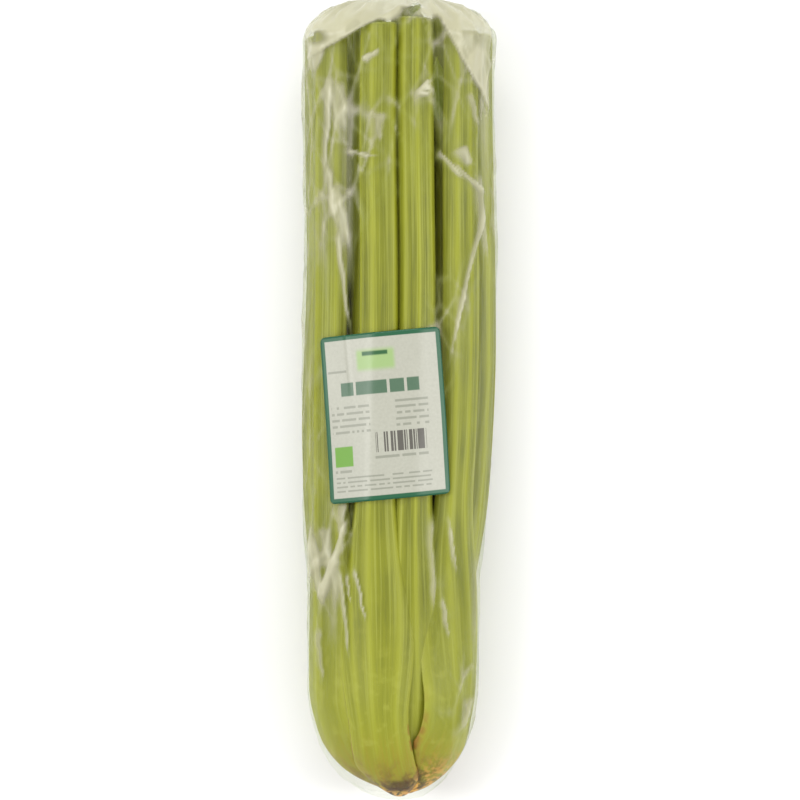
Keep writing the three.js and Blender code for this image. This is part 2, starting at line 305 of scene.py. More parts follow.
# Which way the crescent's back faces, and how far it tilts along the base.
face_x, face_z = out_z * turn.sin(), out_x * turn.cos()
face_long = (face_x * face_x + face_z * face_z).root()
face_x, face_z = face_x / face_long, face_z / face_long
spread = out_x * size_of["Nest"]
tilt = grow.math("ARCTAN2", spread * rise.cos(), depth * rise.sin())
ring_radius = (spread * rise.sin()).most(3.0)

bend_radius = mixed(ring_radius, size_of["Width"] * 0.4, settle)
wrap = mixed((size_of["Base"] / ring_radius).least(MOST_BASE_WRAP), STALK_WRAP, settle)
wrap = wrap * (1 + swell * 0.25 * settle) * (1 - cap * 0.3)

# Round the crescent, with the columns gathered where the ribs are.
angle = (round_share + 0.4 * (round_share * 4 * math.pi).sin() / (4 * math.pi)) * (
    2 * math.pi
)
across = angle.cos().sign() * abs(angle.cos()) ** 0.85
bulge = angle.sin().sign() * abs(angle.sin()) ** 0.8
bulge = bulge * half * (1 - 0.3 * angle.cos() * angle.cos())
outer = angle.sin().above(0.0)

# Broad ribs run the whole length of the outer face with fine strings between
# them. They fade at the thin edges, at the foot and over the cut.
uneven = across + 0.09 * (across * 4.0 + size_of["Seed"] * 2.1).sin()
broad = 0.5 + 0.5 * (uneven * size_of["Ribs"] * math.pi).cos()
string = 0.5 + 0.5 * (uneven * size_of["Ribs"] * 3.0 * math.pi).cos()
rib = 0.78 * broad ** 1.4 + 0.22 * string
rib_room = (1 - abs(across).smooth(0.86, 1.0)) * up.smooth(8.0, 30.0) * (1 - cap)
rib_shown = rib * rib_room * outer
rib_height = rib_shown * mixed(0.35, 0.55, settle)

# The crescent is laid round its bend, and the whole head swells at its base.
radius = bend_radius + (bulge + rib_height) * fullness
turned = across * wrap
aside = radius * turned.sin()
ahead = radius * turned.cos() - bend_radius
x = centre_x + aside * face_z + ahead * face_x * tilt.cos()
girth = 1 + BASE_SWELL * up.smooth(0.0, 30.0) * (1 - up.smooth(150.0, 240.0))
girth = girth + BUTT_SWELL * up.smooth(4.0, 14.0) * (1 - up.smooth(15.0, 36.0))
x = middle_x + (x - middle_x) * girth
y = up - HEAD_LENGTH / 2 - ahead * tilt.sin() + size_of["Cut Slope"] * aside * beyond ** 8.0
z = centre_z - aside * face_x + ahead * face_z * tilt.cos()

# What the skin needs to know of each point, and then its place.
fields = grid
for name, value in (
    ("rib", rib_shown),
    ("across", across),
    ("outer", angle.sin()),
    ("up", up / HEAD_LENGTH),
    ("cut", cap.above(0.001)),
    ("seed", size_of["Seed"]),
):
    fields = grow.node(
        "GeometryNodeStoreNamedAttribute",
        {"data_type": "FLOAT", "domain": "POINT"},
        {"Geometry": fields, "Name": name, "Value": value},
    )
shaped = grow.node(
    "GeometryNodeSetPosition",
    inputs={"Geometry": fields, "Position": grow.vector(x * MM, y * MM, z * MM)},
)
joined = grow.node(
    "GeometryNodeMergeByDistance", inputs={"Geometry": shaped, "Distance": 0.002 * MM}
)
outward = grow.node("GeometryNodeFlipFaces", inputs={"Mesh": joined})
cut_face = grow.node("GeometryNodeInputNamedAttribute", inputs={"Name": "cut"})
soft = grow.node(
    "GeometryNodeSetShadeSmooth",
    inputs={"Geometry": outward, "Shade Smooth": 1 - cut_face},
)
real = grow.node("GeometryNodeRealizeInstances", inputs={"Geometry": soft})
dressed = grow.node(
    "GeometryNodeSetMaterial", inputs={"Geometry": real, "Material": size_of["Skin"]}
)
result = stalk_tree.nodes.new("NodeGroupOutput")
stalk_tree.links.new(dressed.socket, result.inputs["Geometry"])


def new_material(name):
    material = bpy.data.materials.new(name)
    material.use_nodes = True
    shader = material.node_tree.nodes["Principled BSDF"]
    return material, shader, Wire(material.node_tree)


def link(wire, shader, socket):
    wire.tree.links.new(wire.socket, shader.inputs[socket])


def mark(maker, name):
    return maker.node("ShaderNodeAttribute", {"attribute_name": name}, out="Fac")


def blended(maker, a, b, share):
    mix = {"Factor": share, 6: a, 7: b}
    return maker.node("ShaderNodeMix", {"data_type": "RGBA"}, mix, out=2)


def here(maker):
    """Where a point of the surface is, in metres."""
    return maker.node("ShaderNodeTexCoord", out=3)


def noise(maker, place, scale, detail, **more):
    places = {"Vector": place, "Scale": scale, "Detail": detail, **more}
    return maker.node("ShaderNodeTexNoise", inputs=places)


def bumps(maker, height, strength, depth):
    sizes = {"Height": height, "Strength": strength, "Distance": depth}
    return maker.node("ShaderNodeBump", inputs=sizes)


def rgb(red, green, blue):
    """A linear colour from the 0 to 255 values a paint chart gives."""

    def linear(c):
        c /= 255
        return c / 12.92 if c <= 0.04045 else ((c + 0.055) / 1.055) ** 2.4

    return (linear(red), linear(green), linear(blue), 1)


stalk_skin, stalk_shader, skin = new_material("celery_skin")
rib_mark, across_mark = mark(skin, "rib"), mark(skin, "across")
outer_mark, up_mark = mark(skin, "outer"), mark(skin, "up")
cut_mark, seed_mark = mark(skin, "cut"), mark(skin, "seed")

# Dull green valleys between paler ridges: partly the skin's own tone, partly painted
# shade in the grooves and a painted highlight on the ridges. The grain, strings and
# clouds are drawn out along the stalk.
grain = noise(skin, skin.vector(across_mark * 9.0, up_mark * 9.0, seed_mark * 3.1), 2.2, 4.0)
cloud = noise(skin, skin.vector(across_mark * 0.7, up_mark * 12.0, seed_mark * 5.7), 1.0, 2.0)
strings = noise(skin, skin.vector(across_mark * 13.0, up_mark * 3.0, seed_mark * 4.3), 1.6, 1.0)
valley_tone_and_shade = blended(skin, rgb(103, 107, 1), rgb(120, 123, 3), grain.smooth(0.3, 0.7))
valley_tone_and_shade = blended(skin, valley_tone_and_shade, rgb(136, 139, 12), cloud.smooth(0.35, 0.75) * 0.7)
ridge_tone_and_highlight = blended(skin, rgb(148, 150, 26), rgb(161, 163, 44), grain)
colour = blended(skin, valley_tone_and_shade, ridge_tone_and_highlight, rib_mark.smooth(0.1, 1.0) * 0.85)
colour = blended(skin, colour, rgb(176, 178, 82), strings.smooth(0.5, 0.68) * 0.32)
# The thin edges are paler: partly their own thinner tissue, partly a painted highlight along
# them.
thin_edge_and_highlight = abs(across_mark).smooth(0.78, 1.0)
colour = blended(skin, colour, rgb(172, 173, 70), thin_edge_and_highlight * 0.7)
# The inner faces are a brighter green: partly their own tone, partly painted light that lifts
# the shade in the gaps between stalks.
inner_face_and_painted_light = 1 - outer_mark.smooth(-0.25, 0.15)
colour = blended(skin, colour, rgb(134, 144, 24), inner_face_and_painted_light * 0.7)

# The base is paler and mottled, and tan towards the root.
mottle = noise(skin, here(skin), 190.0, 3.0)
pale = 1 - up_mark.smooth(0.04, 0.30)
colour = blended(skin, colour, rgb(156, 158, 38), pale * 0.65)
colour = blended(skin, colour, rgb(170, 170, 66), pale * mottle.smooth(0.5, 0.7) * 0.5)
tan = (1 - up_mark.smooth(0.015, 0.11)) * (0.2 + 1.0 * grain.smooth(0.35, 0.7))
colour = blended(skin, colour, rgb(164, 126, 40), tan.least(1.0) * 0.6)

# The torn edges and the root end have dried brown, with rubbed orange flecks,
# most of them to the right, and a dark patch where a stub was broken off.
seam = abs(across_mark).smooth(0.88, 0.97) * (1 - up_mark.smooth(0.05, 0.16))
colour = blended(skin, colour, rgb(140, 84, 18), seam * mottle.smooth(0.4, 0.6) * 0.8)
scorch = (1 - up_mark.smooth(0.012, 0.075)) * mottle.smooth(0.45, 0.62)
colour = blended(skin, colour, rgb(104, 66, 18), scorch * 0.85)
skin_x, skin_y, _ = here(skin).parts()
to_right = skin_x.smooth(0.004, 0.018)
fleck = noise(skin, here(skin), 420.0, 2.0)
rubbed = (1 - up_mark.smooth(0.012, 0.032 + 0.045 * to_right)) * fleck.smooth(0.45, 0.57)
colour = blended(skin, colour, rgb(216, 158, 78), rubbed)
burnt = (1 - up_mark.smooth(0.018, 0.04)) * (1 - fleck.smooth(0.42, 0.56))
colour = blended(skin, colour, rgb(58, 30, 6), burnt * (1 - 0.5 * to_right))
stub = (1 - abs(skin_x - 0.0006).smooth(0.003, 0.007)) * (
    skin_y.smooth(-0.1660, -0.1645) - skin_y.smooth(-0.1615, -0.1590)
)
colour = blended(skin, colour, rgb(70, 38, 10), stub * fleck.smooth(0.3, 0.5) * 0.85)

# The cut end shows wet paler tissue with a row of vascular dots.
dots = (across_mark * 34.0).cos().smooth(0.3, 0.9) * outer_mark.smooth(0.05, 0.3)
cut_colour = blended(skin, rgb(186, 190, 100), rgb(128, 138, 48), dots * 0.7)
colour = blended(skin, colour, cut_colour, cut_mark)
link(colour, stalk_shader, "Base Color")
link(0.46 + 0.16 * grain, stalk_shader, "Roughness")
link(bumps(skin, grain, 0.35, 0.0004), stalk_shader, "Normal")
stalk_shader.inputs["Subsurface Weight"].default_value = 0.12
stalk_shader.inputs["Subsurface Radius"].default_value = (0.9, 1.0, 0.35)
stalk_shader.inputs["Subsurface Scale"].default_value = 0.003

# Oldest first: half the width of its base, the degrees the bag has pushed it
# round the head, how far out it stands, its width and thickness there, and
# where it is cut, up the head.
STALKS = (
    # base, lean, reach, width, thickness, cut
    (12, -5, 1, 17, 8.8, 327.5),
    (20, 3.5, 1, 18.5, 8.6, 323),
    (24, -26, 1, 17, 9, 325),
    (21, 5, 1, 17.5, 9, 325.5),
    (20, 4, 0.96, 17, 8.2, 324.5),
    (16, -9.5, 0.92, 16.5, 8.4, 330),
    (18, 21, 0.98, 17, 8.2, 324),
    (19, -14, 1, 17.5, 8.6, 325),
    (14, -6, 0.62, 14.5, 7.4, 334),
    (14, 8, 0.58, 14.5, 7, 324),
    (13, 15, 0.6, 14.5, 7.4, 334),
    (12, -8, 0.5, 12.5, 6.8, 332),
    (10, -8, 0.76, 14, 7, 321),
    (9, 6, 0.36, 10.5, 6, 336.5),
    (8, 0, 0.36, 9.5, 5.4, 335),
    (7, 0, 0.2, 8.5, 5, 334),
)
GOLDEN_ANGLE, FIRST_TURN = -137.508, -10.0
CUT_SLOPE, RIB_SPACING = 0.05, 4.2


def make_plain(piece):
    """Gives a piece the plain mesh that its modifiers make, and takes them off."""
    seen = piece.evaluated_get(bpy.context.evaluated_depsgraph_get())
    mesh = bpy.data.meshes.new_from_object(seen)
    piece.modifiers.clear()
    piece.data = mesh
    mesh.name = piece.name


sockets = {s.name: s.identifier for s in stalk_tree.interface.items_tree}
stalk_pieces = []
for number, (base, lean, reach, width, thickness, cut) in enumerate(STALKS):
    age = number / (len(STALKS) - 1)
    layer = "outer" if number < 8 else "inner" if number < 12 else "heart"
    node = f"{layer}_stalk_{number + 1}"
    stalk = bpy.data.objects.new(f"ribbed_{node}", bpy.data.meshes.new(node))
    bpy.context.scene.collection.objects.link(stalk)
    maker = stalk.modifiers.new("leaf_stalk", "NODES")
    maker.node_group = stalk_tree
    values = (
        FIRST_TURN + GOLDEN_ANGLE * number, lean, mixed(1, 0.2, age**1.3), reach, base,
        width, mixed(5.2, 3.2, age), thickness, cut, (-1) ** number * CUT_SLOPE,
        max(2, round(width / RIB_SPACING)), number + 1.0,
    )  # fmt: skip
    for size, value in zip(STALK_SIZES, values):
        maker[sockets[size]] = float(value)
    maker[sockets["Skin"]] = stalk_skin
    make_plain(stalk)
    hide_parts(node)
    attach(stalk, "root")
    stalk_pieces.append(stalk)

# ---- Root crown ----
# The short corky stem that the stalks grow from, trimmed where the roots were.
# Its cut end is a slightly domed disc of brown cork with tan flecks, paler to
# one side, and the stubs of roots stand round it.

CROWN_AROUND, CROWN_ALONG, CUT_SHARE = 72, 44, 0.25
CUT_RADIUS, SHOULDER, CUT_DOME, CUT_WOBBLE = 0.0072, 0.0040, 0.0022, 0.0004
STUBS, STUB_HEIGHT, CUT_UP, CROWN_LEAN_UP = 26, 0.0011, 0.0026, 17
crown_low, crown_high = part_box("root_crown")
crown_long = crown_high.y - crown_low.y
crown_random = np.random.default_rng(3)
stubs = crown_random.uniform(0, 1, (STUBS, 3))
crown_points = []
for row in range(CROWN_ALONG):
    # The cut, a rounded shoulder, and a cone that goes up between the stalks.
    t = row / (CROWN_ALONG - 1)
    face = min(t / CUT_SHARE, 1.0)
    body = max(t - CUT_SHARE, 0.0) / (1 - CUT_SHARE)
    round_shoulder = SHOULDER * math.sin(min(body * 5, 1) * math.pi / 2)
    ring = (CUT_RADIUS + round_shoulder) * (1 - body) ** 0.75 * face
    along = crown_low.y + CUT_UP + crown_long * 0.9 * body
    up_share = min(max((along / MM + HEAD_LENGTH / 2) / CROWN_LEAN_UP, 0), 1)
    middle = (CELERY_ASIDE + BUTT_ASIDE * up_share**2) * MM
    for k in range(CROWN_AROUND):
        a = 2 * math.pi * k / CROWN_AROUND
        # Each stub is a small hump at its own place round the crown and up it.
        rough = 0.0
        for spot, high, size in stubs:
            gap = abs((a / (2 * math.pi) - spot + 0.5) % 1 - 0.5) * 20
            gap = math.hypot(gap, (body - high * 0.3) * 22)
            rough += STUB_HEIGHT * (0.4 + size) * math.exp(-gap * gap)
        r = ring + rough * face * (1 - body)
        dome = CUT_DOME * (face**2 - 1) + CUT_WOBBLE * math.cos(3 * a) * (1 - body) * face
        crown_points.append(
            (middle + r * math.sin(a), along + dome, AXIS_HEIGHT * MM + r * math.cos(a))
        )


def grid_faces(rows, columns, closed):
    """Quads over rows of points. A closed grid joins the two ends of each row."""
    faces = []
    for row in range(rows - 1):
        for k in range(columns if closed else columns - 1):
            a, b = row * columns + k, row * columns + (k + 1) % columns
            faces.append((a, b, b + columns, a + columns))
    return faces


crown_mesh = bpy.data.meshes.new("corky_crown")
crown_mesh.from_pydata(crown_points, [], grid_faces(CROWN_ALONG, CROWN_AROUND, True))

# The first ring's points lie on one place, and so do the last ring's: they are
# merged, and the faces turned outwards.
work = bmesh.new()
work.from_mesh(crown_mesh)
bmesh.ops.remove_doubles(work, verts=work.verts, dist=0.002 * MM)
bmesh.ops.recalc_face_normals(work, faces=work.faces)
work.to_mesh(crown_mesh)
work.free()
crown_mesh.shade_smooth()
crown = bpy.data.objects.new("corky_crown", crown_mesh)
bpy.context.scene.collection.objects.link(crown)
cork, cork_shader, bark = new_material("cork")
flecks = noise(bark, here(bark), 420.0, 5.0, Roughness=0.65)
bark_x, _, _ = here(bark).parts()
CORK_TONES = (
    (0.34, rgb(58, 32, 8)),
    (0.47, rgb(150, 96, 30)),
    (0.62, rgb(222, 172, 88)),
)
paler = bark_x.most(-0.01).least(0.01) * 9.0
bark_colour = bark.node("ShaderNodeValToRGB", {"stops": CORK_TONES}, {"Fac": flecks + paler})
link(bark_colour, cork_shader, "Base Color")
cork_shader.inputs["Roughness"].default_value = 0.85
link(bumps(bark, flecks, 0.8, 0.0006), cork_shader, "Normal")
crown_mesh.materials.append(cork)
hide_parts("root_crown")
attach(crown, "root")

# ---- Heart leaves ----
# Small tender leaves left on the inner stalks' tops: a folded blade with
# toothed lobes along a pale midrib.

LEAVES = (
    # node, middle (aside, up the head, high), length, width, turn in degrees
    ("heart_leaf_1", (16.5, 301, 44.5), 27, 8, 3),
    ("heart_leaf_2", (7, 333, 48), 7, 5, -30),
    ("heart_leaf_3", (2, 326, 34.6), 13, 7, 12),
)
leaf_skin, leaf_shader, leaf = new_material("leaf_skin")
vein_mark, leaf_up = mark(leaf, "vein"), mark(leaf, "rise")
leaf_green = blended(leaf, rgb(84, 112, 12), rgb(164, 174, 16), leaf_up)
link(blended(leaf, leaf_green, rgb(168, 182, 84), vein_mark), leaf_shader, "Base Color")
leaf_shader.inputs["Roughness"].default_value = 0.45

BLADE_COLUMNS, BLADE_ROWS, BLADE_THICKNESS = 33, 90, 0.0004
for node, (aside_mm, up_mm, high_mm), long_mm, wide_mm, turn_deg in LEAVES:
    along_blade, over_blade = np.linspace(0, 1, BLADE_ROWS), np.linspace(-1, 1, BLADE_COLUMNS)
    # v runs from a blade's foot to its tip, and u across it from edge to edge.
    v, u = np.meshgrid(along_blade, over_blade, indexing="ij")
    lobes = 0.72 + 0.28 * np.abs(np.sin(v * math.pi * 4.5)) ** 0.7
    teeth = 1 + 0.05 * np.sin(v * math.pi * 44)
    half_blade = wide_mm / 2 * np.sin(math.pi * np.clip(v, 0.02, 0.985) ** 0.8) ** 0.8
    half_blade = half_blade * lobes * teeth
    lx = u * half_blade
    ly = (v - 0.5) * long_mm
    lz = 0.45 * np.abs(lx) + 2 * v**2 + 0.25 * np.sin(v * 26 + np.abs(u) * 5) * np.abs(u)
    vein = np.exp(-((u / 0.07) ** 2)) + 0.6 * np.exp(
        -((np.sin((v * long_mm - np.abs(lx) * 1.1) * 2.4) / 0.16) ** 2)
    )
    lz = lz + 0.25 * np.exp(-((u / 0.09) ** 2))
    c, d = math.cos(math.radians(turn_deg)), math.sin(math.radians(turn_deg))
    points = np.stack(
        (
            aside_mm + lx * c - ly * d,
            up_mm - HEAD_LENGTH / 2 + lx * d + ly * c,
            high_mm + lz,
        ),
        axis=-1,
    ).reshape(-1, 3)
    blade_mesh = bpy.data.meshes.new(f"blade_{node}")
    blade_mesh.from_pydata(
        (points * MM).tolist(), [], grid_faces(BLADE_ROWS, BLADE_COLUMNS, False)
    )
    for name, value in (("vein", np.clip(vein, 0, 1)), ("rise", v)):
        layer = blade_mesh.attributes.new(name, "FLOAT", "POINT")
        layer.data.foreach_set("value", value.astype(np.float32).ravel())
    blade_mesh.materials.append(leaf_skin)
    blade = bpy.data.objects.new(f"blade_{node}", blade_mesh)
    bpy.context.scene.collection.objects.link(blade)
    thick = blade.modifiers.new("thickness", "SOLIDIFY")
    thick.thickness = BLADE_THICKNESS
    blade_mesh.shade_smooth()
    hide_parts(node)
    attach(blade, "root")

# ---- Film bag ----
# A tube of thin clear film drawn tight over the head and folded in at both
# ends. It bridges the hollows between the stalks, creases where it is pulled,
# and looks milky where it lies double. Its milkiness also carries painted
# highlights along the creases and ridges, and a painted sheen on the steep sides.

FILM_AROUND, BUTT_ROWS, SIDE_ROWS, TOP_ROWS = 240, 64, 270, 46
# The film stands this far off the celery, and takes this share of the bag's
# full outline where it hangs loose: past the root and over the cut tops.
FILM_GAP, LOOSE_SHARE, LOOSE_ROOT = 0.45, 0.97, 14
LABEL_WIDE, LABEL_LONG, LABEL_ASIDE, LABEL_UP = 53.0, 70.0, -6.2, 163.5
LABEL_TURN = math.radians(5.2)
MOUTH_HALF_WIDTH, MOUTH_HALF_HEIGHT, SQUARENESS = 7.0, 1.2, 0.88
film_random = np.random.default_rng(11)


def ease(low, high, x):
    t = np.clip((x - low) / (high - low), 0, 1)
    return t * t * (3 - 2 * t)


def signed_power(x, exponent):
    return np.sign(x) * np.abs(x) ** exponent


def outline(up_mm):
    rounding = np.sqrt(1 - np.clip(1 - up_mm / BUTT_DEPTH, 0, 1) ** 2)
    side = ease(BUTT_DEPTH / 2, HEAD_LENGTH * 0.72, up_mm)
    rise_share = ease(BUTT_DEPTH / 2, HEAD_LENGTH * 0.45, up_mm)
    wide = mixed(BUTT_WIDTH / 2, HEAD_WIDTH / 2, side) * rounding
    return wide, FULL_HALF_HEIGHT * mixed(0.93, 1.0, rise_share) * rounding


def axis_at(up_mm):
    return BUTT_ASIDE * (ease(0, BUTT_DEPTH / 3, up_mm) - ease(30, HEAD_LENGTH * 0.6, up_mm))


def softened(values, spread, axis, wrap):
    """Values blurred along one axis, over about spread steps each way."""
    reach_steps = int(spread * 3)
    steps = np.arange(-reach_steps, reach_steps + 1)
    weights = np.exp(-((steps / spread) ** 2) / 2)
    weights /= weights.sum()
    total = 0
    for step, weight in zip(steps, weights):
        if wrap:
            moved = np.roll(values, step, axis)
        else:
            last = values.shape[axis] - 1
            moved = np.take(values, np.clip(np.arange(last + 1) - step, 0, last), axis)
        total = total + weight * moved
    return total


shoulder = HEAD_LENGTH - TOP_DEPTH
butt_slope = np.radians(np.linspace(1.5, 90, BUTT_ROWS))
side_up = np.linspace(BUTT_DEPTH, shoulder, SIDE_ROWS + 2)[1:-1]
top_slope = np.radians(np.linspace(0, 90, TOP_ROWS))
butt_up = BUTT_DEPTH * (1 - np.cos(butt_slope))
row_up = np.concatenate((butt_up, side_up, shoulder + TOP_DEPTH * np.sin(top_slope)))
row_wide, row_high = outline(np.minimum(row_up, shoulder))
narrowing = np.ones_like(row_up)
narrowing[-TOP_ROWS:] = np.cos(top_slope)
row_wide = mixed(MOUTH_HALF_WIDTH, row_wide, narrowing)
row_high = mixed(MOUTH_HALF_HEIGHT, row_high, narrowing)
row_aside = axis_at(row_up)
film_rows = len(row_up)
plan_up = np.repeat(row_up[:, None], FILM_AROUND, axis=1)

turn_round = np.radians(np.linspace(-90, 270, FILM_AROUND, endpoint=False))
oval_x = row_wide[:, None] * signed_power(np.cos(turn_round), SQUARENESS)
oval_z = row_high[:, None] * signed_power(np.sin(turn_round), SQUARENESS)
oval_r = np.hypot(oval_x, oval_z)
heading = np.arctan2(oval_z, oval_x)

# How far out the celery reaches in each direction, as a taut band round it would.
celery = []
for piece in stalk_pieces:
    co = np.empty(len(piece.data.vertices) * 3)
    piece.data.vertices.foreach_get("co", co)
    celery.append(co.reshape(-1, 3) / MM)
celery = np.concatenate(celery)
celery = celery[np.argsort(celery[:, 1])]
celery_up = celery[:, 1] + HEAD_LENGTH / 2
look = np.radians(np.arange(0, 360, 2.0))
look_to = np.stack((np.cos(look), np.sin(look)))
LEAST_FACING, FEWEST_POINTS, BAND_HALF, FAR_OUT = 0.05, 30, 2.5, 1e3
taut = np.zeros_like(oval_r)
for row in range(film_rows):
    band_ends = (row_up[row] - BAND_HALF, row_up[row] + BAND_HALF)
    first, last = np.searchsorted(celery_up, band_ends)
    near = celery[first:last][:, (0, 2)] - (row_aside[row], AXIS_HEIGHT)
    if len(near) < FEWEST_POINTS:
        continue
    support = (near @ look_to).max(axis=0)[None, :]
    facing = np.cos(heading[row][:, None] - look[None, :])
    band = support / np.maximum(facing, LEAST_FACING)
    taut[row] = np.where(facing > LEAST_FACING, band, FAR_OUT).min(axis=1) + FILM_GAP

# As a share of the full outline: loose at both ends, smoothed, and full below,
# where the film rests on the table.
share_out = np.where(taut > 0, np.minimum(taut / oval_r, 1.0), LOOSE_SHARE)
share_out = np.where(plan_up < LOOSE_ROOT, LOOSE_SHARE, share_out)
widest = share_out
for step in range(-6, 7):
    order = np.clip(np.arange(film_rows) + step, 0, film_rows - 1)
    widest = np.maximum(widest, share_out[order])
smooth_out = softened(softened(widest, 2.4, 0, False), 1.0, 1, True)
loose_end = ease(shoulder - 4, shoulder + 6, row_up)[:, None]
smooth_out = mixed(smooth_out, np.maximum(smooth_out, LOOSE_SHARE), loose_end)
under = ease(0.25, 0.75, -np.sin(heading))
smooth_out = mixed(smooth_out, 1.0, under)
film_r = oval_r * smooth_out
film_x = row_aside[:, None] + film_r * np.cos(heading)
film_y = plan_up - HEAD_LENGTH / 2
film_z = AXIS_HEIGHT + film_r * np.sin(heading)
film = np.stack((film_x, film_y, np.maximum(film_z, 0.15)), axis=-1)

# Which way is straight out of the film, at each of its points.
along_rows = np.gradient(film, axis=0)
around = np.roll(film, -1, 1) - np.roll(film, 1, 1)
out_of_film = np.cross(along_rows, around)
out_of_film = out_of_film / np.maximum(
    np.linalg.norm(out_of_film, axis=-1, keepdims=True), 1e-9
)

# Distances over the film: round it from the front's middle, and along it.
step_round = np.linalg.norm(np.roll(film, -1, 1) - film, axis=-1)
walked = np.cumsum(step_round, axis=1) - step_round
round_mm = walked - walked[:, FILM_AROUND // 2][:, None]
step_along = np.linalg.norm(np.diff(film, axis=0, prepend=film[:1]), axis=-1)
front_walk = np.cumsum(step_along[:, FILM_AROUND // 2])
along_mm = np.repeat(front_walk[:, None], FILM_AROUND, axis=1)


LATTICE = 64


def on_lattice(across_mm, up_mm, wide, long, slant):
    """Places in steps of a wide and long lattice turned by slant degrees."""
    c, d = math.cos(math.radians(slant)), math.sin(math.radians(slant))
    a, b = (across_mm * c + up_mm * d) / wide, (up_mm * c - across_mm * d) / long
    return a, b, np.floor(a).astype(int), np.floor(b).astype(int)


def cells(across_mm, up_mm, wide, long, slant):
    """Distances to the nearest and next nearest of a jittered lattice's points."""
    jitter = film_random.uniform(0, 1, (LATTICE, LATTICE, 2))
    a, b, ia, ib = on_lattice(across_mm, up_mm, wide, long, slant)
    nearest = np.full(a.shape, 9.0)
    following = np.full(a.shape, 9.0)
    for da in (-1, 0, 1):
        for db in (-1, 0, 1):
            shift = jitter[(ia + da) % LATTICE, (ib + db) % LATTICE]
            gap = np.hypot(a - ia - da - shift[..., 0], b - ib - db - shift[..., 1])
            following = np.minimum(following, np.maximum(nearest, gap))
            nearest = np.minimum(nearest, gap)
    return nearest, following


def waves(across_mm, up_mm, wide, long, slant):
    """Smooth random hills, 0 to 1, drawn out along one direction."""
    heights = film_random.uniform(0, 1, (LATTICE, LATTICE))
    a, b, ia, ib = on_lattice(across_mm, up_mm, wide, long, slant)
    fa, fb = ease(0, 1, a - ia), ease(0, 1, b - ib)
    ia, ja, ib, jb = ia % LATTICE, (ia + 1) % LATTICE, ib % LATTICE, (ib + 1) % LATTICE
    low = mixed(heights[ia, ib], heights[ja, ib], fa)
    high = mixed(heights[ia, jb], heights[ja, jb], fa)
    return mixed(low, high, fb)


# Where the film is loose enough to crumple: by the folded ends and in patches.
from_top = HEAD_LENGTH - row_up[:, None]
patches = waves(round_mm, along_mm, 26, 55, 12)
crumpled = np.clip(ease(0.42, 0.8, patches) + 0.8 * (1 - ease(20, 95, from_top)), 0, 1)
nearest, following = cells(round_mm, along_mm, 12, 36, 14)
crease = 1 - ease(0.0, 0.3, following - nearest)
lift = (0.55 * nearest + 0.35 * crease) * (0.25 + 0.75 * crumpled)
nearest, following = cells(round_mm, along_mm, 8, 22, -22)
small_crease = 1 - ease(0.0, 0.3, following - nearest)
lift += (0.12 * nearest + 0.10 * small_crease) * crumpled
pull = 1 - np.abs(2 * waves(round_mm, along_mm, 4.2, 70, 3) - 1)
lift += 0.30 * pull**4
# Milky haze in the crumpled creases and in patches. Along the creases and the pulled ridges it
# also paints highlights, and on the steep sides it paints a sheen.
milky = 0.22 * crease**2 * crumpled + 0.15 * small_crease**2 * crumpled + 0.07 * pull**8
milky += 0.14 * crumpled * waves(round_mm, along_mm, 11, 40, -8)
milky += 0.12 * waves(round_mm, along_mm, 9, 60, 5) * ease(0.4, 0.8, np.abs(np.cos(heading)))

